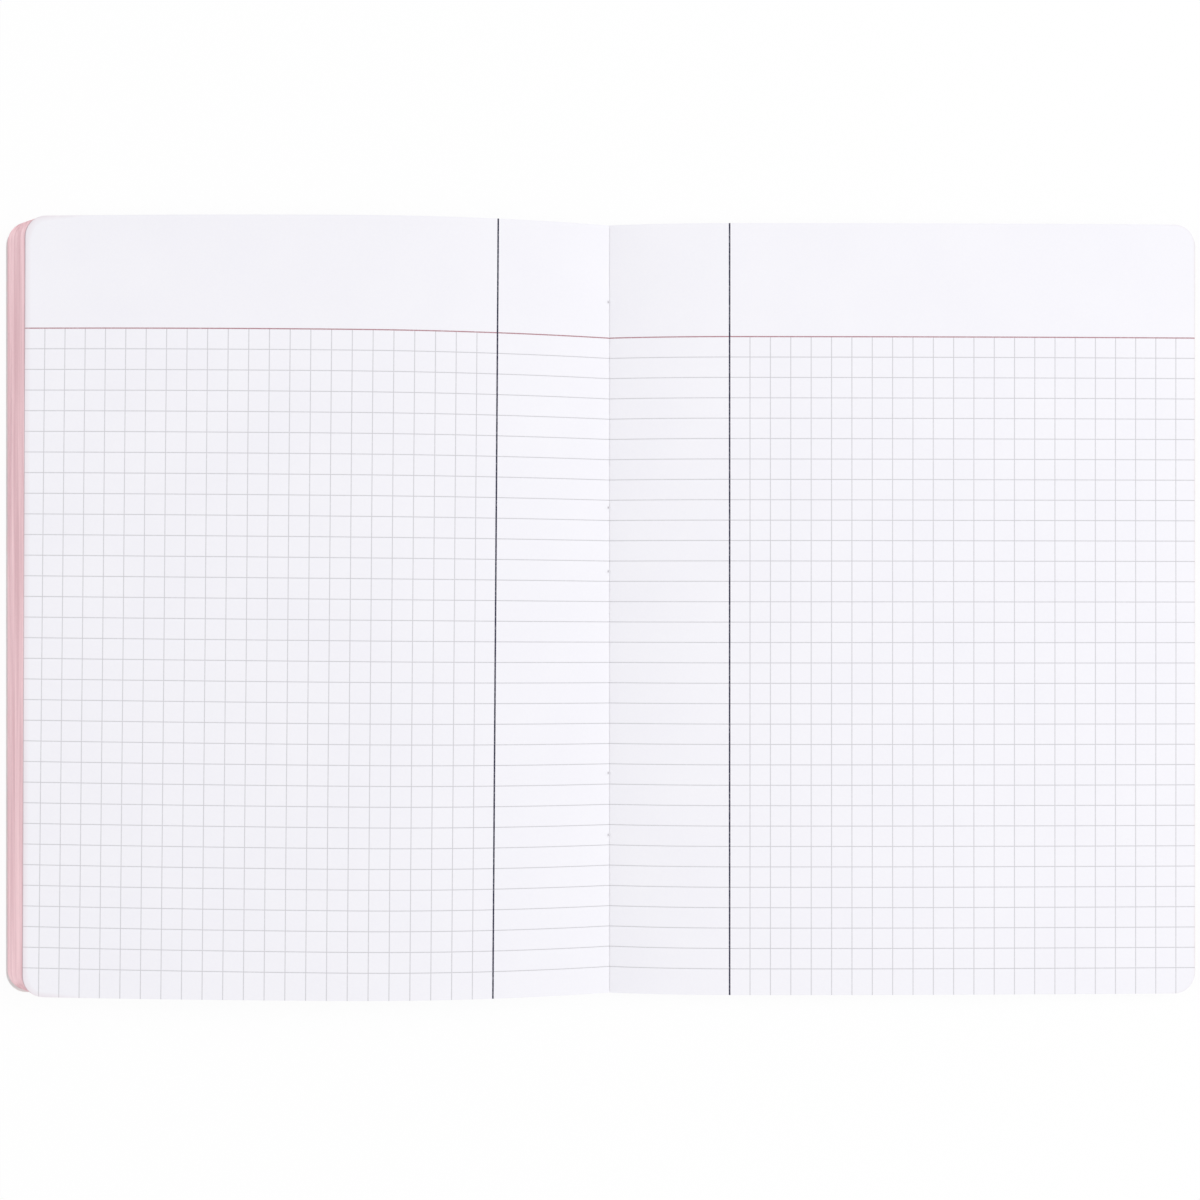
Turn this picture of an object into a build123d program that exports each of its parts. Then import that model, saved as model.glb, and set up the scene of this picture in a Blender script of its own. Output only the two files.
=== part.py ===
"""Exercise book lying open on a table: sewn sections of leaves in a folded card cover.

X runs across the open pages, Y runs up the page and Z is up. The origin is on the
table, under the gutter, half way up the page.
"""
import os

from build123d import *

# Leaf and cover sizes, in millimetres
leaf_width = 201.5
leaf_height = 265.0
leaf_thickness = 0.12
corner_radius = 7.0
cover_thickness = 0.4
cover_margin = 0.5
glue_thickness = 0.2

# Sections: folded gatherings of leaves, sewn through the fold
left_sections = 6
right_sections = 2
fold_width = 1.15
section_gap = 0.12

# Play between pieces that turn, and beside the gutter
turning_gap = 0.3
gutter_gap = 0.5
crease_gap = 0.2

# Heights of the page surface above the table, as the book lies open
gutter_height = 3.6
fold_rise = 0.3
left_crown_height = 18.2
left_edge_height = 14.2
right_crown_height = 7.4
right_edge_height = 4.7

# Heights of the lowest leaf on each side, which bows up off the cover
left_low_crown = 5.2
right_low_crown = 2.8

# Where the crown lies, measured out from the fold of the leaf
left_crown_reach = 88.0
right_crown_reach = 42.0

# Width that the top leaf loses by bowing up, seen from above
left_take_up = 3.4
right_take_up = 0.2
right_edge_fan = 1.1

# The left pages lie a little askew, so their outer edge is further up the table
left_slant = 1.0
right_slant = 0.0

# Spare material that trimming takes off
trim = 5.0

# Thread: stitches through every fold, in pairs of needle holes, placed as shares of the page's height
thread_diameter = 0.3
thread_depth = 0.5
stitch_length = 21.9
stitch_shares = (0.436, 0.091, -0.254)
slot_clearance = 0.06

# Worked out from the sizes above
seat = cover_thickness + glue_thickness
left_back = left_sections * fold_width
spine_left = -left_back - gutter_gap - fold_width
spine_right = gutter_gap + fold_width
leaf_pitch = leaf_thickness + turning_gap
loose_leaves = 2
stitch_places = [leaf_height * share for share in stitch_shares]
slot_width = thread_diameter + 2 * slot_clearance


def mix(low, high, share):
    """Value that lies a given share of the way from low to high."""
    return low + (high - low) * share


def left_line(share, drop=0.0):
    """Fold, crown and edge of a leaf on the left, for its share of the stack's height."""
    root = -gutter_gap - left_back * (1 - share)
    edge = root - leaf_width + left_take_up * share
    return [
        Vector(root, mix(seat + fold_rise, gutter_height, share) - drop),
        Vector(root - left_crown_reach, mix(left_low_crown, left_crown_height, share) - drop),
        Vector(edge, mix(seat, left_edge_height, share) - drop),
    ]


def right_line(share, drop=0.0):
    """Fold, crown and edge of a leaf on the right, for its share of the stack's height."""
    root = gutter_gap
    edge = root + leaf_width - right_take_up + right_edge_fan * (1 - share)
    return [
        Vector(root, mix(seat + turning_gap, gutter_height, share) - drop),
        Vector(root + right_crown_reach, mix(right_low_crown, right_crown_height, share) - drop),
        Vector(edge, mix(seat + turning_gap, right_edge_height, share) - drop),
    ]


def past_edge(crown, edge):
    """Point where the arc from crown to edge has run on past the edge by the trim."""
    reach = edge.X - crown.X
    longer = (abs(reach) + trim) / abs(reach)
    return Vector(crown.X + reach * longer, crown.Y - (crown.Y - edge.Y) * longer**2)


def leaf_curve(line):
    """Two arcs that are level where they meet at the crown: one to the fold, one past the edge."""
    fold, crown, edge = line
    end = past_edge(crown, edge)
    TangentArc(crown, fold, tangent=(fold.X - crown.X, 0))
    TangentArc(crown, end, tangent=(end.X - crown.X, 0))
    return end


def page_outline(inner_x, outer_x, slant):
    """Plan of a page or cover: straight at the fold, with its two outer corners rounded."""
    half_height = leaf_height / 2
    with BuildSketch() as outline:
        with BuildLine():
            Polyline(
                (inner_x, -half_height),
                (outer_x, slant - half_height),
                (outer_x, slant + half_height),
                (inner_x, half_height),
                close=True,
            )
        make_face()
        across = outline.vertices().sort_by(Axis.X)
        fillet(across[:2] if outer_x < inner_x else across[-2:], corner_radius)
    return outline.sketch


def bowed_block(low, high, root_points, slant):
    """Leaves between two bowed lines, trimmed to the page by an outline that leans with the fore-edge."""
    low_edge, high_edge = low[-1], high[-1]
    outward = trim if low_edge.X > 0 else -trim
    lean = (high_edge.X - low_edge.X) / (high_edge.Y - low_edge.Y)
    ground_edge = low_edge.X - lean * low_edge.Y
    rise = Vector(lean, 0, 1)
    with BuildPart() as block:
        with BuildSketch(Plane.XZ):
            with BuildLine():
                low_end = leaf_curve(low)
                high_end = leaf_curve(high)
                Line(low_end, high_end)
                Polyline(low[0], *root_points, high[0])
            make_face()
        extrude(amount=leaf_height / 2 + slant + trim, both=True)
        outline = page_outline(-outward, ground_edge, slant)
        height = high[1].Y + trim
        extrude(outline, amount=height * rise.length, dir=rise.normalized(), mode=Mode.INTERSECT)
    return block.part


def stitch_slots(block, center_x, center_z, size_x, size_z):
    """Cut the places in a fold where the thread lies."""
    with BuildPart() as slotted:
        add(block)
        with Locations([(center_x, place, center_z) for place in stitch_places]):
            Box(size_x, stitch_length + slot_width, size_z, mode=Mode.SUBTRACT)
    return slotted.part


def stitches(plane, mouth, inner):
    """Three stitches: each comes in at one needle hole, runs along the fold and leaves at the next."""
    half = thread_diameter / 2
    with BuildPart() as threads:
        with BuildSketch(plane):
            for place in stitch_places:
                head = place + stitch_length / 2
                tail = place - stitch_length / 2
                with BuildLine():
                    Polyline(
                        (head + half, mouth),
                        (head + half, inner + half),
                        (tail - half, inner + half),
                        (tail - half, mouth),
                        (tail + half, mouth),
                        (tail + half, inner - half),
                        (head - half, inner - half),
                        (head - half, mouth),
                        close=True,
                    )
                make_face()
        extrude(amount=half, both=True)
    return threads.part


def cover_panel(inner_x, outer_x):
    """Flat card panel from a crease to the fore-edge."""
    with BuildPart() as panel:
        extrude(page_outline(inner_x, outer_x, 0), amount=cover_thickness)
    return panel.part


def save(part, name):
    """Label a finished piece and write it."""
    part.label = name
    export_step(part, f"parts/{name}.step")


os.makedirs("parts", exist_ok=True)

# Cover: one card, creased into front, spine and back
front_edge = left_line(0)[-1].X - cover_margin
back_edge = right_line(0)[-1].X + cover_margin
save(cover_panel(spine_left, front_edge), "front_cover")
save(cover_panel(spine_right + crease_gap, back_edge), "back_cover")

with BuildPart() as spine_panel:
    with BuildSketch():
        with Locations(((spine_left + spine_right) / 2, 0)):
            Rectangle(spine_right - spine_left, leaf_height)
    extrude(amount=cover_thickness)
save(spine_panel.part, "spine_panel")

# Glue between the folds and the spine
with BuildPart() as spine_glue:
    with BuildSketch(Plane.XY.offset(cover_thickness)):
        with Locations((-gutter_gap - left_back / 2, 0)):
            Rectangle(left_back, leaf_height)
    extrude(amount=glue_thickness)
save(spine_glue.part, "spine_glue")

# Left sections: each stands with its fold on the glue, bends over and lies on the one before
loose_drop = loose_leaves * leaf_pitch
half_gap = section_gap / fold_width / left_sections / 2
for index in range(left_sections):
    low_share = index / left_sections + half_gap
    high_share = (index + 1) / left_sections - half_gap
    low_line = left_line(low_share, loose_drop * low_share)
    high_line = left_line(high_share, loose_drop * high_share)
    foot = [(low_line[0].X, seat), (high_line[0].X, seat)]
    fold_center = (low_line[0].X + high_line[0].X) / 2
    section = bowed_block(low_line, high_line, foot, left_slant)
    slot_height = thread_depth + slot_width / 2
    section = stitch_slots(section, fold_center, seat + slot_height / 2, slot_width, slot_height)
    save(section, f"section_{index + 1}")
    thread = stitches(Plane.YZ.offset(fold_center), seat, seat + thread_depth)
    save(thread, f"stitches_{index + 1}")

# Right sections: they lie on the back cover, with the last section of the book lowest
for index in range(right_sections):
    number = left_sections + right_sections - index
    low_line = right_line(index / right_sections, loose_drop * index / right_sections)
    high_share = (index + 1) / right_sections
    high_line = right_line(high_share, loose_drop * high_share + turning_gap)
    fold_center = (low_line[0].Y + high_line[0].Y) / 2
    section = bowed_block(low_line, high_line, [], right_slant)
    slot_depth = thread_depth + slot_width / 2
    section = stitch_slots(section, gutter_gap + slot_depth / 2, fold_center, slot_depth, slot_width)
    save(section, f"section_{number}")
    fold_plane = Plane((0, 0, fold_center), x_dir=(0, 1, 0), z_dir=(0, 0, -1))
    thread = stitches(fold_plane, gutter_gap, gutter_gap + thread_depth)
    save(thread, f"stitches_{number}")

# Loose leaves: the top leaf on each side, and the leaf under it
for name, line, slant in (("left", left_line, left_slant), ("right", right_line, right_slant)):
    top_leaf = bowed_block(line(1, leaf_thickness), line(1), [], slant)
    save(top_leaf, f"{name}_leaf")
    under_leaf = bowed_block(line(1, leaf_pitch + leaf_thickness), line(1, leaf_pitch), [], slant)
    save(under_leaf, f"{name}_under_leaf")
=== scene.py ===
"""Open exercise book seen from above: ruled leaves, folded sections, a creased card cover.

Lengths are in millimetres until a mesh is made. X runs across the open pages, Y runs up
the page and Z is up, with the gutter over the origin.
"""
import math
from collections import namedtuple

import bpy
import numpy as np
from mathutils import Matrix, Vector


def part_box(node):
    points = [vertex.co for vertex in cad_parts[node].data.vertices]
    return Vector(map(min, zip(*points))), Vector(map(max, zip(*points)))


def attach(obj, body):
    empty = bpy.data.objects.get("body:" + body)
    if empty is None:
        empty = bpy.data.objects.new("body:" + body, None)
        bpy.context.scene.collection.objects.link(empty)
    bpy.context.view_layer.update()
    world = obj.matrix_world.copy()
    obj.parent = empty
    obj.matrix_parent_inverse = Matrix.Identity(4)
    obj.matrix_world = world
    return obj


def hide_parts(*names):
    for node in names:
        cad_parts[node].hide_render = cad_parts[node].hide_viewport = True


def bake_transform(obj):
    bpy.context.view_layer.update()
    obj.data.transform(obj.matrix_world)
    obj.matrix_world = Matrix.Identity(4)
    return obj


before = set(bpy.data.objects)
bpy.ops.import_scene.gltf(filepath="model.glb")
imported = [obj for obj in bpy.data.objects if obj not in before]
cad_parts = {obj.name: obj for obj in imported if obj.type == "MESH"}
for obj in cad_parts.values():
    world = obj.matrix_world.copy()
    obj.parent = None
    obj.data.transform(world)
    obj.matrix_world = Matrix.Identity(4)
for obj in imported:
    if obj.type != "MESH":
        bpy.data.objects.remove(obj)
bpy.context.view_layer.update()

MM = 0.001


def node_box(node):
    """Lowest and highest corner of a CAD node, in millimetres."""
    low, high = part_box(node)
    return np.array(low) / MM, np.array(high) / MM


right_low, right_high = node_box("right_leaf")
front_low, front_high = node_box("front_cover")
back_low, back_high = node_box("back_cover")
spine_high = node_box("spine_panel")[1]
glue_low, glue_high = node_box("spine_glue")

# Leaf: one size for every leaf of the book
page_height = right_high[1] - right_low[1]
leaf_width = 201.5
leaf_thickness = 0.1
corner_radius = 7.0

# Faces that meet at more than this angle keep a crisp edge
rim_angle = math.radians(50)

# How far in from head and tail the next row of points lies, and how slowly the dye fades along them
head_inset = 1.4
head_fade = 0.1

# Bow of the open book: fold, crown and fore-edge, as pairs of the lowest leaf and the top leaf
gutter_gap = 0.5
gutter_height = 3.6
fold_rise = 0.3
turning_gap = 0.3
seat = glue_high[2]
left_back = glue_high[0] - glue_low[0]
left_crown_reach = 88.0
left_crown = (5.2, 18.2)
left_edge = (seat, 14.2)
left_fold = (seat + fold_rise, gutter_height)
left_take_up = 3.4
right_crown_reach = 42.0
right_crown = (2.8, 7.4)
right_edge = (seat + turning_gap, 4.7)
right_fold = (seat + turning_gap, gutter_height)
right_take_up = 0.2
right_fan = 1.1

# Loose leaves: the top leaf and the one under it, each with a lip that dips into the gutter. Steps are
# the points along the leaf and round its corner, rows are the points up the page
leaf_pitch = 0.42
loose_leaves = 2
loose_drop = loose_leaves * leaf_pitch
leaf_steps = (84, 10)
leaf_rows = 61
lip_reach = 0.48
lip_curl = 0.3
lip_steps = 7

# Ripple of the loose leaves: each wave has a length across, a length up the page and a start
ripple_waves = ((23.0, 61.0, 0.0), (37.0, -29.0, 1.3), (90.0, 18.0, 0.4))
ripple_height = 0.045
ripple_sink = 0.05
ripple_fade = 40.0

# Sections: folded sheets laid into one another
left_sections = 6
right_sections = 2
sheets = 6
section_gap = 0.12
fold_width = left_back / left_sections
sheet_fill = 0.8
section_steps = (26, 8)
section_rows = 7

# Folds: the points round one, how far below its root a leaf turns into it, and how far past the leaf's
# inner end it counts as lying
fold_points = 11
fold_step = 0.02
fold_mark = 0.01

# Uneven trimming of the sheets, in full from this distance from the fold
chance = np.random.default_rng(11)
trim_reach = 150.0
trim_flare = 0.6
trim_spread = 0.12
trim_short = 0.12
trim_shift = 0.07

# Thread: its stitches up the page, and the swelling of its two plies
thread_radius = 0.15
thread_depth = 0.5
stitch_length = 21.9
stitch_places = (115.5, 24.1, -67.3)
thread_steps = 72
thread_sides = 10
ply_swell = 0.12
ply_twist = 6.0

# Glue on the spine: its creep between the folds, its slow wave, and its ragged ends, where each tongue
# has a share, a pace and a start
glue_reach = 0.12
glue_creep = 0.35
glue_wave = 0.02
glue_wave_length = 4.1
glue_short = 0.9
glue_tongues = ((0.3, 2.9, 0.0), (0.2, 7.3, 1.0))
glue_steps = 85
glue_rows = 121

# Cover: its margin at head and tail, and its creases, which lie shallower on the inside
cover_margin = 0.5
margin_reach = 60.0
crease_width = 0.55
crease_depth = 0.12
inside_crease = 0.5
before_crease = 4.0
past_crease = 12.0
corner_steps = 10
panel_steps = 30
spine_steps = 90
cover_rows = 13

# Ruling, measured out from the fold and down from the head of the page
square = 7.0
header_drop = 38.95
margin_in = 41.0
ruled_rows = 31
ruled_columns = 22
grid_width = 0.3
header_width = 0.4
margin_width = 0.56

# Ink: thinner between the fibres, and only a trace of it on the cut edges
ink_lumps = (0.25, 0.5)
thin_ink = 0.75
rim_ink = 0.2

# Needle holes beside the fold, down from the head of the page
needle_holes = (26.5, 97.5, 119.5, 189.1, 210.5)
burr_reach = 0.8
hole_reach = 0.4
hole_slimness = 2.2
hole_offset = 0.12

# Fibres: lumps to the metre, their detail, and the part of the noise's range that the tones span
paper_fineness = 1400.0
card_fineness = 900.0
fine_detail = 4.0
cloud_detail = 2.0
cloud_share = 0.03
fine_share = 0.45
wide_tones = (0.3, 0.7)
close_tones = (0.35, 0.65)

# Finishes: gloss, roughness, heights of relief in metres and how strongly it shows
paper_gloss = 0.25
plain_gloss = 0.3
paper_roughness = (0.78, 0.9)
paper_relief = 0.00002
paper_strength = 0.35
burr_height = 0.00015
card_roughness = (0.5, 0.68)
card_relief = 0.00003
plain_strength = 0.4

# Dyed fore-edges, and painted shade along some leaf edges: where the colour starts to fade, and its
# streaks along the edges
dye_start = 0.1
streak_fineness = 420.0
streak_detail = 2.0
streak_stretch = 0.03

# Wear of the card, broken up by lumps. At edges and creases: where it starts to fade, where it ends
# and how strong it is
scuff_fineness = 180.0
scuff_detail = 5.0
scuff_lumps = (0.42, 0.62)
least_scuff = 0.15
edge_wear = (0.0, 1.3, 0.8)
crease_wear = (0.2, 0.9, 0.6)
worn_roughness = 0.2

# Floor in metres, light, and the camera over the gutter
floor_reach = 6.0
floor_drop = 0.0001
floor_glow = 0.92
floor_fade = (0.5, 2.5)
sky_strength = 0.58
camera_at = (-3.21, 3.11, 603.6)
camera_lens = 52.12
camera_near = 0.01
sensor = 36.0


def srgb(red, green, blue):
    """Linear colour of an sRGB colour given as 0 to 255."""
    share = np.array([red, green, blue]) / 255
    linear = np.where(share > 0.04045, ((share + 0.055) / 1.055) ** 2.4, share / 12.92)
    return (*[float(value) for value in linear], 1.0)


WHITE = (1.0, 1.0, 1.0, 1.0)
FLOOR = (0.93, 0.93, 0.93, 1.0)
PAPER = srgb(243, 242, 247)
PAPER_DARK = srgb(240, 239, 245)
HOLE_SHADE = srgb(150, 145, 152)
# Painted shade in the needle holes
GRID_INK = srgb(204, 203, 208)
HEADER_INK = srgb(173, 127, 136)
MARGIN_INK = srgb(44, 42, 66)
EDGE_DYE = srgb(254, 220, 225)
EDGE_DYE_DARK = srgb(230, 191, 198)
# Painted shade along the edges of leaves, as under the overhanging top leaf
EDGE_SHADE = srgb(226, 203, 209)
EDGE_SHADE_DARK = srgb(206, 182, 189)
CARD = srgb(233, 209, 209)
CARD_DARK = srgb(218, 190, 191)
CARD_INSIDE = srgb(240, 238, 238)
CARD_INSIDE_DARK = srgb(228, 225, 226)
CARD_WORN = srgb(240, 228, 226)
THREAD = srgb(236, 233, 226)
THREAD_DARK = srgb(190, 184, 172)
GLUE = srgb(236, 230, 212)
GLUE_DARK = srgb(214, 203, 176)


def mix(pair, share):
    """Value a share of the way from the first of a pair to the second."""
    return pair[0] + (pair[1] - pair[0]) * share


def smooth(share):
    """Soft step: three times the square less twice the cube, held between 0 and 1."""
    held = np.clip(share, 0, 1)
    return held * held * (3 - 2 * held)


def left_line(share, drop):
    """Fold, crown and edge (x, z) of a left leaf: each moves straight with the share of the stack."""
    root = -gutter_gap - left_back * (1 - share)
    return np.array([
        (root, mix(left_fold, share) - drop),
        (root - left_crown_reach, mix(left_crown, share) - drop),
        (root - leaf_width + left_take_up * share, mix(left_edge, share) - drop),
    ])


def right_line(share, drop):
    """Fold, crown and edge (x, z) of a right leaf: each moves straight with the share of the stack."""
    edge = gutter_gap + leaf_width - right_take_up + right_fan * (1 - share)
    return np.array([
        (gutter_gap, mix(right_fold, share) - drop),
        (gutter_gap + right_crown_reach, mix(right_crown, share) - drop),
        (edge, mix(right_edge, share) - drop),
    ])


# One side of the open book: its leaf lines, how far the fore-edge lies up the table and leans, and how
# the print lies on the page: nearer the gutter, leaning with height and rising outwards
Side = namedtuple("Side", "line slant edge_lean print_shift print_lean print_rise")
left = Side(left_line, slant=1.0, edge_lean=0.0035, print_shift=1.5, print_lean=0.0063, print_rise=0.8)
right = Side(right_line, slant=0.0, edge_lean=0.0, print_shift=0.0, print_lean=0.0, print_rise=-0.15)


def bowed(line, shares):
    """Points along a leaf: two circular arcs that are level at the crown, to the fold and to the edge.

    An arc that drops by z over a reach of x has the radius (x squared + z squared) / 2z and turns
    through twice the angle whose tangent is z / x. Share 0 is the fold and share 1 the fore-edge,
    by length along the leaf. Gives x, z and the distance from the fold.
    """
    crown = line[1]
    reach = line[(0, 2), 0] - crown[0]
    drop = crown[1] - line[(0, 2), 1]
    radius = (reach**2 + drop**2) / (2 * drop)
    turn = 2 * np.arctan2(drop, np.abs(reach))
    lengths = radius * turn
    distance = shares * lengths.sum()
    inner = distance < lengths[0]
    angle = np.where(inner, (lengths[0] - distance) / radius[0], (distance - lengths[0]) / radius[1])
    bend = np.where(inner, radius[0], radius[1])
    side = np.where(inner, np.sign(reach[0]), np.sign(reach[1]))
    return crown[0] + side * bend * np.sin(angle), crown[1] - bend * (1 - np.cos(angle)), distance


def edge_spaced(plain, corner):
    """Shares from fold to fore-edge: even steps, then a sine's quarter turn round the corner."""
    start = 1 - corner_radius / leaf_width
    even = np.linspace(0, start, plain, endpoint=False)
    arc = 1 - (1 - start) * (1 - np.sin(np.linspace(0, math.pi / 2, corner)))
    return np.concatenate([even, arc])


def half_heights(edge_distance):
    """Half the page's height at a distance from the fore-edge, with the corner rounded by a circle.

    It is the full half, less the corner's radius, plus the root of the radius squared less the square
    of what the distance lacks of the radius.
    """
    inside = np.clip(corner_radius - edge_distance, 0, corner_radius)
    return page_height / 2 - corner_radius + np.sqrt(corner_radius**2 - inside**2)


def spread(x, z, half, shift, steps):
    """Carry a line of x and z up the page: y runs from minus half to plus half, moved by shift.

    The rows next to the head and tail keep a fixed distance from them, so that the tint of the
    edge stays narrow there.
    """
    inset = half[:, None] - head_inset
    middle = inset * np.linspace(-1, 1, steps - 2)[None, :]
    y = shift[:, None] + np.concatenate([-half[:, None], middle, half[:, None]], axis=1)
    x = np.broadcast_to(x[:, None], y.shape)
    z = np.broadcast_to(z[:, None], y.shape)
    return np.stack([x, y, z], axis=-1)


def slab_arrays(upper, lower):
    """Closed slab between two grids of points: both faces, then a rim round all four borders.

    The first faces returned are the two grids, to be smooth; the rim follows. All are turned to
    face away from the other grid. Gives points, faces and how many faces are smooth.
    """
    long, wide = upper.shape[:2]
    index = np.arange(long * wide).reshape(long, wide)
    corners = [index[:-1, :-1], index[1:, :-1], index[1:, 1:], index[:-1, 1:]]
    top = np.stack(corners, axis=-1).reshape(-1, 4)
    under = top[:, ::-1] + long * wide
    border = np.concatenate([index[:, 0], index[-1, 1:], index[-2::-1, -1], index[0, -2:0:-1]])
    after = np.roll(border, -1)
    rim = np.stack([after, border, border + long * wide, after + long * wide], axis=-1)
    points = np.concatenate([upper.reshape(-1, 3), lower.reshape(-1, 3)])
    first = points[top[0]]
    facing = np.cross(first[1] - first[0], first[3] - first[0]) @ (upper[0, 0] - lower[0, 0])
    faces = np.concatenate([top, under, rim])
    if facing < 0:
        faces = faces[:, ::-1]
    return points, faces, len(top) + len(under)


def outline_distance(upper, edge_distance, shift):
    """Distance from the fore-edge and its two rounded corners, in the plane of the page.

    Away from the corners it is the plain distance from the fore-edge. In a corner it is the corner's
    radius less the distance from the corner's middle. Along head and tail it is the distance from
    them, plus a small part of the way from the corner, so that it grows slowly.
    """
    edge = np.broadcast_to(edge_distance[:, None], upper.shape[:2])
    head = page_height / 2 - np.abs(upper[..., 1] - shift[:, None])
    beyond_across = np.clip(corner_radius - edge, 0, None)
    beyond_up = np.clip(corner_radius - head, 0, None)
    from_middle = np.hypot(beyond_across, beyond_up)
    in_corner = (edge < corner_radius) & (head < corner_radius)
    along_head = np.minimum(edge, np.clip(head, 0, None) + head_fade * (edge - corner_radius))
    past_corner = np.where(edge < corner_radius, edge, along_head)
    return np.where(in_corner, np.clip(corner_radius - from_middle, 0, None), past_corner)


def page_places(side, upper, distance, edge_distance, shift):
    """Place of each point of a sheet, for both its faces: across and down in the print, then its
    distance from the fold and from the fore-edge, all in millimetres.

    Across is the distance from the fold, moved by the print's shift and by its lean times y. Down is
    measured from the head, with the print's rise in proportion to the distance from the fold.
    """
    from_fold = np.broadcast_to(distance[:, None], upper.shape[:2])
    across = from_fold + side.print_shift + side.print_lean * upper[..., 1]
    rise = side.print_rise * from_fold / leaf_width
    down = page_height / 2 - upper[..., 1] + shift[:, None] + rise
    from_edge = outline_distance(upper, edge_distance, shift)
    return np.tile(np.stack([across, down, from_fold, from_edge]).reshape(4, -1), 2)


def store(mesh, name, domain, values):
    """Keep a value for every face or point of a mesh, for its material to read."""
    mesh.attributes.new(name, "FLOAT", domain).data.foreach_set("value", values.astype(np.float32))


def store_places(mesh, places):
    """Store the places of the points: the print as a UV map, the two distances as attributes."""
    corner = np.empty(len(mesh.loops), dtype=np.int32)
    mesh.loops.foreach_get("vertex_index", corner)
    print_places = places[:2].T[corner].astype(np.float32)
    mesh.uv_layers.new(name="page").data.foreach_set("uv", print_places.ravel())
    store(mesh, "from_fold", "POINT", places[2])
    store(mesh, "from_edge", "POINT", places[3])


def tie_piece(mesh, material, body, replaced):
    """Make a finished mesh an object with its material, tie it to its body and hide the nodes it
    replaces.
    """
    mesh.materials.append(material)
    piece = bpy.data.objects.new(mesh.name, mesh)
    bpy.context.collection.objects.link(piece)
    if body:
        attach(piece, body)
    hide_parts(*replaced)
    return piece


def slab_piece(name, slab, material, body, replaced):
    """Piece from a slab's points, faces and smooth count, with its rim marked as a cut edge."""
    points, faces, smooth_count = slab
    mesh = bpy.data.meshes.new(name)
    mesh.from_pydata((points * MM).tolist(), [], faces.tolist())
    is_rim = np.arange(len(faces)) >= smooth_count
    mesh.polygons.foreach_set("use_smooth", ~is_rim)
    store(mesh, "cut_edge", "FACE", is_rim)
    mesh.set_sharp_from_angle(angle=rim_angle)
    return tie_piece(mesh, material, body, replaced)


def add_node(tree, kind, inputs=None, **settings):
    """Add a shader node, set its properties, then set or link its inputs by place or name."""
    made = tree.nodes.new("ShaderNode" + kind)
    for name, value in settings.items():
        setattr(made, name, value)
    for key, value in (inputs or {}).items():
        if isinstance(value, bpy.types.NodeSocket):
            tree.links.new(value, made.inputs[key])
        else:
            made.inputs[key].default_value = value
    return made


def place_group(tree, group, inputs):
    """Outputs of a shader group placed in a material, with its inputs set or linked by name."""
    return add_node(tree, "Group", inputs, node_tree=group).outputs


def reckon(tree, operation, first, second=0.0, third=0.0):
    """Output of a Math node."""
    return add_node(tree, "Math", {0: first, 1: second, 2: third}, operation=operation).outputs[0]


def blend_colour(tree, share, under, over):
    """Output of a colour mix: under where the share is 0, over where it is 1."""
    return add_node(tree, "Mix", {0: share, 6: under, 7: over}, data_type="RGBA").outputs[2]


def remap(tree, value, start, end, low, high):
    """Output of a Map Range node: start becomes low and end becomes high, held between them."""
    return add_node(tree, "MapRange", {0: value, 1: start, 2: end, 3: low, 4: high}).outputs[0]


def noise(tree, vector, scale, detail):
    """Height of a noise pattern, about 0 to 1, with so many lumps to the unit."""
    return add_node(tree, "TexNoise", {"Vector": vector, "Scale": scale, "Detail": detail}).outputs[0]


def stored(tree, name):
    """A value that the mesh keeps for its faces or points."""
    return add_node(tree, "Attribute", attribute_name=name).outputs["Fac"]


def add_bump(tree, shader, height, distance, strength, under=None):
    """Relief from a height, standing a distance in metres proud, over any relief that lies under it."""
    bump = add_node(tree, "Bump", {"Height": height, "Distance": distance, "Strength": strength})
    if under:
        tree.links.new(under, bump.inputs["Normal"])
    tree.links.new(bump.outputs[0], shader.inputs["Normal"])
    return bump.outputs[0]


def new_group(name, inputs, outputs):
    """Empty shader group with sockets given as name and kind. Gives tree, inner input and output."""
    tree = bpy.data.node_groups.new(name, "ShaderNodeTree")
    for socket, kind in inputs:
        tree.interface.new_socket(name=socket, in_out="INPUT", socket_type="NodeSocket" + kind)
    for socket, kind in outputs:
        tree.interface.new_socket(name=socket, in_out="OUTPUT", socket_type="NodeSocket" + kind)
    return tree, tree.nodes.new("NodeGroupInput").outputs, tree.nodes.new("NodeGroupOutput").inputs


def fibre_group():
    """Pressed fibres: lumps under a millimetre, broken up by cloudy patches some centimetres wide."""
    tree, given, put = new_group(
        "pressed_fibres",
        [("Vector", "Vector"), ("Fineness", "Float")],
        [("Tone", "Float"), ("Height", "Float")],
    )
    fine = noise(tree, given["Vector"], given["Fineness"], fine_detail)
    cloud_fineness = reckon(tree, "MULTIPLY", given["Fineness"], cloud_share)
    cloud = noise(tree, given["Vector"], cloud_fineness, cloud_detail)
    fine_part = reckon(tree, "MULTIPLY", fine, fine_share)
    cloud_part = reckon(tree, "MULTIPLY", cloud, 1 - fine_share)
    tree.links.new(reckon(tree, "ADD", fine_part, cloud_part), put["Tone"])
    tree.links.new(fine, put["Height"])
    return tree


def ruling_line(tree, place, width, ink):
    """A line where the place is 0: as strong as the ink within half the line's width of it, else 0."""
    return reckon(tree, "MULTIPLY", reckon(tree, "COMPARE", place, 0.0, width / 2), ink)


def repeated_lines(tree, distance, count):
    """Lines at every square from 1 to count: 1 where the distance is within half a width of one."""
    steps = reckon(tree, "DIVIDE", distance, square)
    nearest = reckon(tree, "ROUND", steps)
    on_line = reckon(tree, "COMPARE", steps, nearest, grid_width / 2 / square)
    after_first = reckon(tree, "GREATER_THAN", nearest, 0.5)
    before_last = reckon(tree, "LESS_THAN", nearest, count + 0.5)
    return reckon(tree, "MULTIPLY", on_line, reckon(tree, "MULTIPLY", after_first, before_last))


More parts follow.
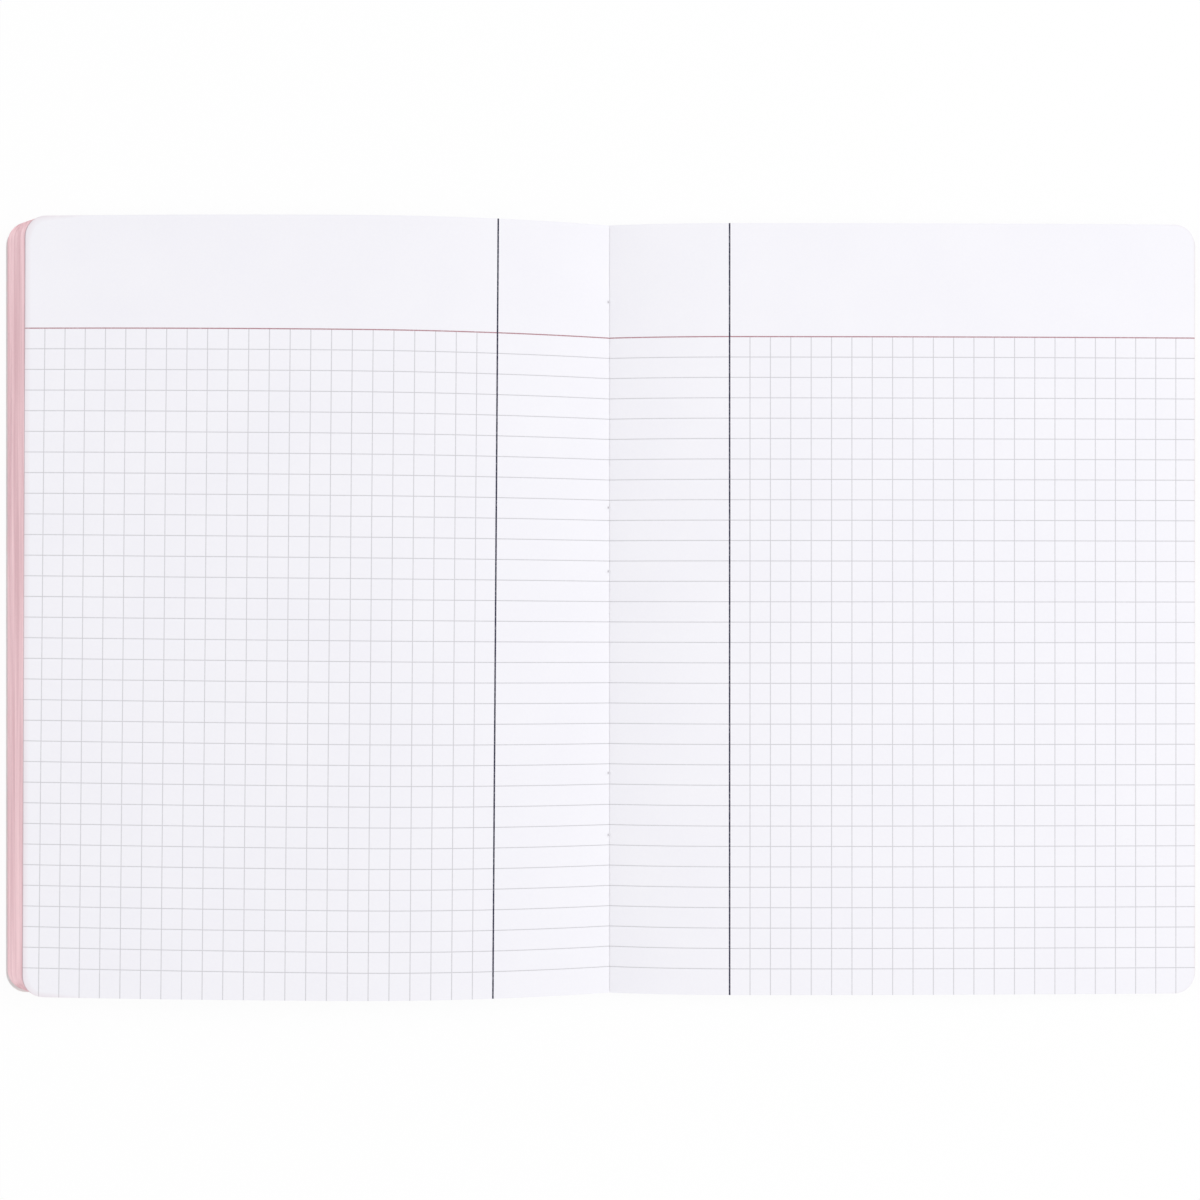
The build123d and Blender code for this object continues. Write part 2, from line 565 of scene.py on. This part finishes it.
def ruling_group():
    """Printed squares on a page: header line, rows below it, margin line and columns outside it.

    Across is the distance from the fold and Down the distance from the head of the page.
    """
    tree, given, put = new_group(
        "page_ruling",
        [("Paper", "Color"), ("Across", "Float"), ("Down", "Float"), ("Ink", "Float")],
        [("Color", "Color")],
    )
    below = reckon(tree, "SUBTRACT", given["Down"], header_drop)
    outside = reckon(tree, "SUBTRACT", given["Across"], margin_in)
    row_lines = repeated_lines(tree, below, ruled_rows)
    column_lines = repeated_lines(tree, outside, ruled_columns)
    under_header = reckon(tree, "GREATER_THAN", below, 0.0)
    column_lines = reckon(tree, "MULTIPLY", column_lines, under_header)
    grid = reckon(tree, "MULTIPLY", reckon(tree, "MAXIMUM", row_lines, column_lines), given["Ink"])
    header = ruling_line(tree, below, header_width, given["Ink"])
    margin = ruling_line(tree, outside, margin_width, given["Ink"])
    colour = blend_colour(tree, grid, given["Paper"], GRID_INK)
    colour = blend_colour(tree, header, colour, HEADER_INK)
    colour = blend_colour(tree, margin, colour, MARGIN_INK)
    tree.links.new(colour, put["Color"])
    return tree


def needle_group():
    """Needle holes beside the fold: a raised burr and a hole at each, both bells; the hole takes
    painted shade.

    A bell is e to the power of minus the squared distance over the squared reach.
    """
    tree, given, put = new_group(
        "needle_holes", [("Fold", "Float"), ("Down", "Float")], [("Burr", "Float"), ("Hole", "Float")]
    )
    lengthways = None
    for hole in needle_holes:
        squared = reckon(tree, "POWER", reckon(tree, "SUBTRACT", given["Down"], hole), 2.0)
        lengthways = squared if lengthways is None else reckon(tree, "MINIMUM", lengthways, squared)
    beside = reckon(tree, "ADD", given["Fold"], hole_offset)
    for socket, reach, slimness in (("Burr", burr_reach, 1.0), ("Hole", hole_reach, hole_slimness)):
        sideways = reckon(tree, "POWER", reckon(tree, "MULTIPLY", beside, slimness), 2.0)
        fall = reckon(tree, "DIVIDE", reckon(tree, "ADD", sideways, lengthways), -(reach**2))
        tree.links.new(reckon(tree, "POWER", math.e, fall), put[socket])
    return tree


def new_material(name, gloss):
    """Material with an empty tree that ends in a Principled shader. Gives material, tree and shader."""
    material = bpy.data.materials.new(name)
    material.use_nodes = True
    tree = material.node_tree
    tree.nodes.clear()
    shader = add_node(tree, "BsdfPrincipled", {"Specular IOR Level": gloss})
    add_node(tree, "OutputMaterial", {0: shader.outputs[0]})
    return material, tree, shader


def streaks(tree, places):
    """Streaks that run along the edges of the leaves: a noise drawn out along the page's height."""
    stretch = (1.0, streak_stretch, 1.0)
    drawn = add_node(tree, "Mapping", {"Vector": places, "Scale": stretch}).outputs[0]
    return remap(tree, noise(tree, drawn, streak_fineness, streak_detail), *close_tones, 0.0, 1.0)


def page_material(name, dye_and_shade, dye_and_shade_reach, edges, hole):
    """Ruled writing paper.

    Its numbers say how strongly the edge colours show, how far in from the edge they reach and how dark
    the needle holes are, which is painted shade. The pink pair of edge colours is the colour of a dyed
    fore-edge; the other pair is painted shade along the edge of the leaf.
    """
    material, tree, shader = new_material(name, paper_gloss)
    places = add_node(tree, "TexCoord").outputs["Object"]
    fibre = place_group(tree, fibres, {"Vector": places, "Fineness": paper_fineness})
    tone = remap(tree, fibre["Tone"], *wide_tones, 0.0, 1.0)
    paper = blend_colour(tree, tone, PAPER_DARK, PAPER)
    page = add_node(tree, "UVMap", uv_map="page").outputs[0]
    across, down, _ = add_node(tree, "SeparateXYZ", {0: page}).outputs
    ink = remap(tree, fibre["Height"], *ink_lumps, thin_ink, 1.0)
    ink = reckon(tree, "MULTIPLY", ink, remap(tree, stored(tree, "cut_edge"), 0.0, 1.0, 1.0, rim_ink))
    printed = place_group(tree, ruling, {"Paper": paper, "Across": across, "Down": down, "Ink": ink})
    sewn = place_group(tree, needles, {"Fold": stored(tree, "from_fold"), "Down": down})
    # Painted shade in the needle holes, darker on the left than on the right
    hole_shade_share = reckon(tree, "MULTIPLY", sewn["Hole"], hole)
    colour = blend_colour(tree, hole_shade_share, printed["Color"], HOLE_SHADE)
    # Edge colour fading in from the fore-edge: dyed pink on the left sections, painted shade on the
    # loose leaves and the right-hand sections
    dye_and_shade_share = remap(tree, stored(tree, "from_edge"), dye_start, dye_and_shade_reach, dye_and_shade, 0.0)
    edge_colour = blend_colour(tree, streaks(tree, places), *edges)
    tree.links.new(blend_colour(tree, dye_and_shade_share, colour, edge_colour), shader.inputs["Base Color"])
    rough = remap(tree, fibre["Tone"], *wide_tones, *paper_roughness)
    tree.links.new(rough, shader.inputs["Roughness"])
    grain = add_bump(tree, shader, fibre["Height"], paper_relief, paper_strength)
    add_bump(tree, shader, sewn["Burr"], burr_height, 1.0, grain)
    return material


def fibrous_material(name, light, dark, fineness, roughness, relief):
    """Plain fibrous or smeared finish: two tones in patches, with fine relief."""
    material, tree, shader = new_material(name, plain_gloss)
    places = add_node(tree, "TexCoord").outputs["Object"]
    fibre = place_group(tree, fibres, {"Vector": places, "Fineness": fineness})
    tone = remap(tree, fibre["Tone"], *close_tones, 0.0, 1.0)
    tree.links.new(blend_colour(tree, tone, dark, light), shader.inputs["Base Color"])
    tree.links.new(remap(tree, fibre["Tone"], *wide_tones, *roughness), shader.inputs["Roughness"])
    add_bump(tree, shader, fibre["Height"], relief, plain_strength)
    return material


def card_material():
    """Card, white inside and pale pink outside: fibres in two tones, scuffed at edges and creases."""
    material, tree, shader = new_material("cover_card", plain_gloss)
    places = add_node(tree, "TexCoord").outputs["Object"]
    fibre = place_group(tree, fibres, {"Vector": places, "Fineness": card_fineness})
    tone = remap(tree, fibre["Tone"], *close_tones, 0.0, 1.0)
    outer_colour = blend_colour(tree, tone, CARD_DARK, CARD)
    inner_colour = blend_colour(tree, tone, CARD_INSIDE_DARK, CARD_INSIDE)
    colour = blend_colour(tree, stored(tree, "outside"), inner_colour, outer_colour)
    scuffs = noise(tree, places, scuff_fineness, scuff_detail)
    scuffs = remap(tree, scuffs, *scuff_lumps, least_scuff, 1.0)
    at_edge = remap(tree, stored(tree, "from_edge"), *edge_wear, 0.0)
    at_crease = remap(tree, stored(tree, "from_fold"), *crease_wear, 0.0)
    worn = reckon(tree, "MULTIPLY", reckon(tree, "MAXIMUM", at_edge, at_crease), scuffs)
    tree.links.new(blend_colour(tree, worn, colour, CARD_WORN), shader.inputs["Base Color"])
    rough = remap(tree, fibre["Tone"], *wide_tones, *card_roughness)
    rough = reckon(tree, "ADD", rough, reckon(tree, "MULTIPLY", worn, worn_roughness))
    tree.links.new(rough, shader.inputs["Roughness"])
    add_bump(tree, shader, fibre["Height"], card_relief, plain_strength)
    return material


def ripple(x, y):
    """Slow unevenness of a sheet that has lain about: a sum of long, low sine waves, a little sunk.

    Each is the sine of x over its length across, plus y over its length up the page, plus its start.
    """
    waves = sum(np.sin(x / x_long + y / y_long + start) for x_long, y_long, start in ripple_waves)
    return ripple_height * waves - ripple_sink


def loose_leaf(name, side, drop, material, body, wavy, overhang):
    """One turning leaf: the bowed line carried up the page, with a lip that dips into the gutter.

    The lip runs on from the fold towards the gutter, falling with the leaf's slope there plus the
    square of how far it has run. The ripple fades out at the fold. The fore-edge leans, so x moves
    with y in proportion to the distance from the fold.
    """
    line = side.line(1, drop)
    inward = np.sign(line[0, 0] - line[2, 0])
    line[2, 0] -= inward * overhang
    x, z, distance = bowed(line, edge_spaced(*leaf_steps))
    run = np.linspace(lip_reach, 0, lip_steps)[:-1]
    slope = (z[1] - z[0]) / np.abs(x[1] - x[0])
    x = np.concatenate([x[0] + inward * run, x])
    z = np.concatenate([z[0] - slope * run - lip_curl * run**2, z])
    distance = np.concatenate([-run, distance])
    edge_distance = distance[-1] - distance
    outwards = np.clip(distance, 0, None) / distance[-1]
    shift = side.slant * outwards
    upper = spread(x, z, half_heights(edge_distance), shift, leaf_rows)
    away = smooth(distance / ripple_fade)[:, None]
    upper[..., 2] += wavy * away * ripple(upper[..., 0], upper[..., 1])
    upper[..., 0] += side.edge_lean * outwards[:, None] * upper[..., 1]
    lower = upper - np.array([0, 0, leaf_thickness])
    piece = slab_piece(name + "_sheet", slab_arrays(upper, lower), material, body, [name])
    store_places(piece.data, page_places(side, upper, distance, edge_distance, shift))


def fold_path(low_line, high_line, shares, upright):
    """One face of a folded sheet: in along the lower leaf, round the fold, out along the upper leaf.

    The fold is half a circle between the two roots. Where the sheet stands on its fold the leaves
    first run straight down to the circle's middle, and where a root lies lower than that, the fold
    starts from the root and is flatter in proportion. Otherwise the circle bulges to the gutter.
    Gives x, z and the distance from the fold, negative in the fold itself.
    """
    low_x, low_z, low_distance = bowed(low_line, shares)
    high_x, high_z, high_distance = bowed(high_line, shares)
    angle = np.linspace(0, math.pi, fold_points)
    if upright:
        radius = (high_x[0] - low_x[0]) / 2
        ends = np.minimum(seat + fold_width / 2, np.array([low_z[0], high_z[0]]) - fold_step)
        middle = mix(ends, angle / math.pi)
        depth = (middle - seat) * radius / (fold_width / 2)
        turn_x = (high_x[0] + low_x[0]) / 2 - radius * np.cos(angle)
        turn_z = middle - depth * np.sin(angle)
    else:
        angle = angle[1:-1]
        radius = (high_z[0] - low_z[0]) / 2
        turn_x = low_x[0] - radius * np.sin(angle)
        turn_z = (high_z[0] + low_z[0]) / 2 - radius * np.cos(angle)
    x = np.concatenate([low_x[::-1], turn_x, high_x])
    z = np.concatenate([low_z[::-1], turn_z, high_z])
    distance = np.concatenate([low_distance[::-1], -radius * np.sin(angle) - fold_mark, high_distance])
    return x, z, distance


def section(number, side, shares, drops, material, body, upright):
    """Six folded sheets laid into one another. Each takes its part of the section from both sides in.

    A sheet's outer face starts at its own step of the section and its inner face a little less than
    one step further in, so that the sheets keep clear of each other all along the bow. Chance trims
    each sheet: in or out by a soft step of the distance from the fold, shorter, and up or down. By
    the same soft step the lower left sections flare to a greater height.
    """
    along = edge_spaced(*section_steps)
    gathered, faces, rims, places, count = [], [], [], [], 0
    for sheet in range(sheets):
        paths = []
        for inset in ((1 - sheet_fill) / 2, (1 + sheet_fill) / 2):
            part = (sheet + inset) / sheets / 2
            low = side.line(mix(shares, part), mix(drops, part))
            high = side.line(mix(shares, 1 - part), mix(drops, 1 - part))
            paths.append(fold_path(low, high, along, upright))
        outer_x, outer_z, distance = paths[0]
        inner_x, inner_z, _ = paths[1]
        ends = np.where(np.arange(len(distance)) < len(along), distance[0], distance[-1])
        edge_distance = ends - distance
        outwards = smooth(distance / trim_reach)
        trim = chance.normal(0, trim_spread) * outwards
        half = half_heights(edge_distance) - chance.uniform(0, trim_short)
        half += trim_flare * (1 - shares[1]) * side.slant * outwards
        shift = side.slant * np.clip(distance, 0, None) / ends + chance.normal(0, trim_shift)
        upper = spread(outer_x + trim, outer_z, half, shift, section_rows)
        lower = spread(inner_x + trim, inner_z, half, shift, section_rows)
        points, loops, smooth_count = slab_arrays(upper, lower)
        gathered.append(points)
        faces.append(loops[:smooth_count] + count)
        rims.append(loops[smooth_count:] + count)
        places.append(page_places(side, upper, distance, edge_distance, shift))
        count += len(points)
    name = f"section_{number}"
    smooth_count = sum(len(block) for block in faces)
    slab = np.concatenate(gathered), np.concatenate(faces + rims), smooth_count
    piece = slab_piece(name + "_sheets", slab, material, body, [name])
    store_places(piece.data, np.concatenate(places, axis=1))


def stitch_arrays(place, start, depth_axis, side_axis):
    """One stitch as a tube: a flat-topped loop, y the root of a cosine and depth the root of a sine.

    Round the tube the radius swells twice, and the swelling turns along the thread as its two plies do.
    Gives points, the four-sided faces along the thread and the triangles that close its two ends.
    """
    angle = np.linspace(0, math.pi, thread_steps)
    swing = np.sign(np.cos(angle)) * np.sqrt(np.abs(np.cos(angle)))
    depth = np.sqrt(np.abs(np.sin(angle)))
    line = start + np.outer(depth * thread_depth, depth_axis)
    line[:, 1] = place + swing * stitch_length / 2
    along = np.gradient(line, axis=0)
    along /= np.linalg.norm(along, axis=1)[:, None]
    across = np.cross(along, side_axis)
    turn = np.linspace(0, 2 * math.pi, thread_sides, endpoint=False)
    run = np.concatenate([[0], np.cumsum(np.linalg.norm(np.diff(line, axis=0), axis=1))])
    swelling = np.cos(2 * turn[None, :] - run[:, None] * ply_twist)
    radius = thread_radius * (1 - ply_swell + ply_swell * swelling)
    ring = np.cos(turn)[None, :, None] * side_axis + np.sin(turn)[None, :, None] * across[:, None, :]
    tube = line[:, None, :] + radius[..., None] * ring
    end = thread_steps * thread_sides
    index = np.arange(end).reshape(thread_steps, thread_sides)
    after = np.roll(index, -1, axis=1)
    sides = np.stack([index[:-1], after[:-1], after[1:], index[1:]], axis=-1).reshape(-1, 4)
    first = np.stack([after[0], index[0], np.full(thread_sides, end)], axis=-1)
    last = np.stack([index[-1], after[-1], np.full(thread_sides, end + 1)], axis=-1)
    points = np.concatenate([tube.reshape(-1, 3), line[[0, -1]]])
    return points, sides, np.concatenate([first, last])


def sewing(number, start, depth_axis, side_axis, body):
    """The three stitches through one fold, as one piece."""
    gathered, faces, count = [], [], 0
    for place in stitch_places:
        points, sides, caps = stitch_arrays(place, start, depth_axis, side_axis)
        gathered.append(points)
        faces += (sides + count).tolist() + (caps + count).tolist()
        count += len(points)
    mesh = bpy.data.meshes.new(f"stitches_{number}_thread")
    mesh.from_pydata((np.concatenate(gathered) * MM).tolist(), [], faces)
    mesh.polygons.foreach_set("use_smooth", np.ones(len(faces), dtype=bool))
    tie_piece(mesh, thread, body, [f"stitches_{number}"])


def glue_film():
    """The glue on the spine: a film that has crept up between the folds, ragged at head and tail.

    Its top is flat, plus a bell over each gap between two folds and a slow sine along the spine. A
    bell is e to the power of minus the squared distance over the squared reach. Its half length is
    the spine's, less two sines across the folds that never pass it.
    """
    x = np.linspace(glue_low[0], glue_high[0], glue_steps)
    gaps = glue_low[0] + fold_width * np.arange(1, left_sections)
    creep = np.exp(-(((x[:, None] - gaps[None, :]) / glue_reach) ** 2)).sum(axis=1)
    ragged = sum(share * (1 + np.sin(x * pace + start)) for share, pace, start in glue_tongues)
    half = glue_high[1] - glue_short * ragged
    still = np.zeros_like(x)
    upper = spread(x, glue_high[2] + glue_creep * creep, half, still, glue_rows)
    upper[..., 2] += glue_wave * np.sin(upper[..., 1] / glue_wave_length + upper[..., 0])
    lower = spread(x, np.full_like(x, glue_low[2]), half, still, glue_rows)
    slab = slab_arrays(upper, lower)
    slab_piece("spine_glue_film", slab, glue, "front_block", ["spine_glue"])


def cover_sheet():
    """The card cover in one sheet: flat, with two pressed creases, each a groove shaped like a bell.

    A bell is e to the power of minus the squared distance over the squared width. Half the height is
    a page's, plus a margin that grows by a soft step away from the spine. The points stand close
    together round the creases and the corners, because there it bends.
    """
    front_edge, back_edge = front_low[0], back_high[0]
    front_crease = front_high[0]
    back_crease = (spine_high[0] + back_low[0]) / 2
    corner = corner_radius * (1 - np.cos(np.linspace(0, math.pi / 2, corner_steps)))
    spine_start = front_crease - before_crease
    spine_end = back_crease + past_crease
    x = np.concatenate([
        front_edge + corner,
        np.linspace(front_edge + corner_radius, spine_start, panel_steps)[1:],
        np.linspace(spine_start, spine_end, spine_steps)[1:],
        np.linspace(spine_end, back_edge - corner_radius, panel_steps)[1:],
        (back_edge - corner)[::-1][1:],
    ])
    edge_distance = np.minimum(x - front_edge, back_edge - x)
    half = half_heights(edge_distance) + cover_margin * smooth(np.abs(x) / margin_reach)
    from_creases = np.abs(x - np.array([[front_crease], [back_crease]]))
    groove = np.exp(-((from_creases / crease_width) ** 2)).sum(axis=0) * crease_depth
    thick = back_high[2] - back_low[2]
    still = np.zeros_like(x)
    upper = spread(x, thick - groove * inside_crease, half, still, cover_rows)
    lower = spread(x, groove, half, still, cover_rows)
    slab = slab_arrays(upper, lower)
    replaced = ["front_cover", "spine_panel", "back_cover"]
    piece = slab_piece("card_cover", slab, card, None, replaced)
    from_edge = half[:, None] - np.abs(upper[..., 1])
    from_edge = np.where(edge_distance[:, None] < head_inset, 0, from_edge)
    from_crease = np.broadcast_to(from_creases.min(axis=0)[:, None], from_edge.shape)
    _, faces, smooth_count = slab
    numbers = np.arange(len(faces))
    outside = (numbers >= smooth_count // 2) & (numbers < smooth_count)
    store(piece.data, "outside", "FACE", outside)
    store(piece.data, "from_edge", "POINT", np.tile(from_edge.ravel(), 2))
    store(piece.data, "from_fold", "POINT", np.tile(from_crease.ravel(), 2))
    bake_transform(piece)


def seen_directly(tree):
    """1 for a ray from the camera, in a reflection or through glass, and 0 for light on a matt face."""
    ray = add_node(tree, "LightPath").outputs
    direct = reckon(tree, "MAXIMUM", ray["Is Camera Ray"], ray["Is Glossy Ray"])
    return reckon(tree, "MAXIMUM", direct, ray["Is Transmission Ray"])


def white_floor():
    """Wide white floor: to the light a matt white that takes shadows, to the camera mostly plain white.

    Further from the book it is all plain white, so that no line shows where the floor ends.
    """
    mesh = bpy.data.meshes.new("floor")
    corners = np.array([(-1, -1, 0), (1, -1, 0), (1, 1, 0), (-1, 1, 0)]) * floor_reach
    mesh.from_pydata((corners - np.array([0, 0, floor_drop])).tolist(), [], [(0, 1, 2, 3)])
    floor = bpy.data.objects.new("floor", mesh)
    bpy.context.collection.objects.link(floor)
    material = bpy.data.materials.new("white_floor")
    material.use_nodes = True
    tree = material.node_tree
    tree.nodes.clear()
    places = add_node(tree, "TexCoord").outputs["Object"]
    away = add_node(tree, "VectorMath", {0: places}, operation="LENGTH").outputs["Value"]
    plainness = remap(tree, away, *floor_fade, floor_glow, 1.0)
    share = reckon(tree, "MULTIPLY", seen_directly(tree), plainness)
    matt = add_node(tree, "BsdfDiffuse", {"Color": FLOOR}).outputs[0]
    plain = add_node(tree, "Emission", {"Color": WHITE, "Strength": 1.0}).outputs[0]
    both = add_node(tree, "MixShader", {0: share, 1: matt, 2: plain}).outputs[0]
    add_node(tree, "OutputMaterial", {0: both})
    mesh.materials.append(material)


def white_world():
    """Even light from all round, and plain white where the camera looks past the floor."""
    world = bpy.data.worlds.new("studio")
    bpy.context.scene.world = world
    world.use_nodes = True
    tree = world.node_tree
    tree.nodes.clear()
    strength = remap(tree, seen_directly(tree), 0.0, 1.0, sky_strength, 1.0)
    sky = add_node(tree, "Background", {"Color": WHITE, "Strength": strength}).outputs[0]
    add_node(tree, "OutputWorld", {0: sky})


def soft_lamp(name, place, size, power):
    """Square soft lamp, its place and size in metres, turned so that it faces the book."""
    lamp = bpy.data.lights.new(name, "AREA")
    lamp.size = size
    lamp.energy = power
    holder = bpy.data.objects.new(name, lamp)
    bpy.context.collection.objects.link(holder)
    x, y, z = place
    holder.location = place
    holder.rotation_euler = (math.atan2(math.hypot(x, y), z), 0, math.atan2(x, -y))


# Finishes
fibres = fibre_group()
ruling = ruling_group()
needles = needle_group()
pink = (EDGE_DYE_DARK, EDGE_DYE)
# Painted shade along the leaf edges: full on the leaf under the top left one, weaker on the top left
# leaf, faint on the right
painted_shade = (EDGE_SHADE_DARK, EDGE_SHADE)
left_top_paper = page_material("ruled_paper_left", dye_and_shade=0.3, dye_and_shade_reach=2.0, edges=painted_shade, hole=1.0)
left_under_paper = page_material("ruled_paper_grey_edge", dye_and_shade=1.0, dye_and_shade_reach=0.9, edges=painted_shade, hole=1.0)
left_paper = page_material("ruled_paper_pink_edge", dye_and_shade=1.0, dye_and_shade_reach=0.9, edges=pink, hole=1.0)
right_paper = page_material("ruled_paper_right", dye_and_shade=0.08, dye_and_shade_reach=0.9, edges=painted_shade, hole=0.15)
card = card_material()
thread = fibrous_material(
    "sewing_thread", THREAD, THREAD_DARK, fineness=6000.0, roughness=(0.7, 0.9), relief=0.00002
)
glue = fibrous_material(
    "dried_glue", GLUE, GLUE_DARK, fineness=350.0, roughness=(0.35, 0.6), relief=0.00006
)

# Loose leaves
loose_leaf("left_leaf", left, 0.0, left_top_paper, "left_leaf", wavy=1.0, overhang=0.0)
loose_leaf("left_under_leaf", left, leaf_pitch, left_under_paper, "front_block", wavy=0.8, overhang=0.4)
loose_leaf("right_leaf", right, 0.0, right_paper, "right_leaf", wavy=1.0, overhang=0.0)
loose_leaf("right_under_leaf", right, leaf_pitch, right_paper, "section_7", wavy=0.8, overhang=0.1)

# Sections: on the left the first lies lowest, on the right the last
half_gap = section_gap / fold_width / left_sections / 2
for index in range(left_sections):
    shares = (index / left_sections + half_gap, (index + 1) / left_sections - half_gap)
    drops = (loose_drop * shares[0], loose_drop * shares[1])
    section(index + 1, left, shares, drops, left_paper, "front_block", upright=True)
for index in range(right_sections):
    number = left_sections + right_sections - index
    shares = (index / right_sections, (index + 1) / right_sections)
    drops = (loose_drop * shares[0], loose_drop * shares[1] + turning_gap)
    section(number, right, shares, drops, right_paper, f"section_{number}", upright=False)

# Stitches: they go up into the folds on the left and sideways into those on the right
for number in range(1, left_sections + right_sections + 1):
    low, high = node_box(f"stitches_{number}")
    middle = (low + high) / 2
    if number <= left_sections:
        sewing(number, (middle[0], 0, low[2]), (0, 0, 1), (1, 0, 0), "front_block")
    else:
        sewing(number, (low[0], 0, middle[2]), (1, 0, 0), (0, 0, -1), f"section_{number}")

glue_film()
cover_sheet()

# Stage
white_floor()
white_world()
soft_lamp("window_right", (2.1, 0.35, 1.8), size=1.8, power=46.0)
soft_lamp("fill_left", (-2.6, 0.0, 0.9), size=2.0, power=30.0)

camera = bpy.data.cameras.new("over_gutter")
camera.sensor_width = sensor
camera.lens = camera_lens
camera.clip_start = camera_near
viewer = bpy.data.objects.new("over_gutter", camera)
viewer.location = [value * MM for value in camera_at]
bpy.context.collection.objects.link(viewer)
bpy.context.scene.camera = viewer
bpy.context.scene.view_settings.view_transform = "Standard"
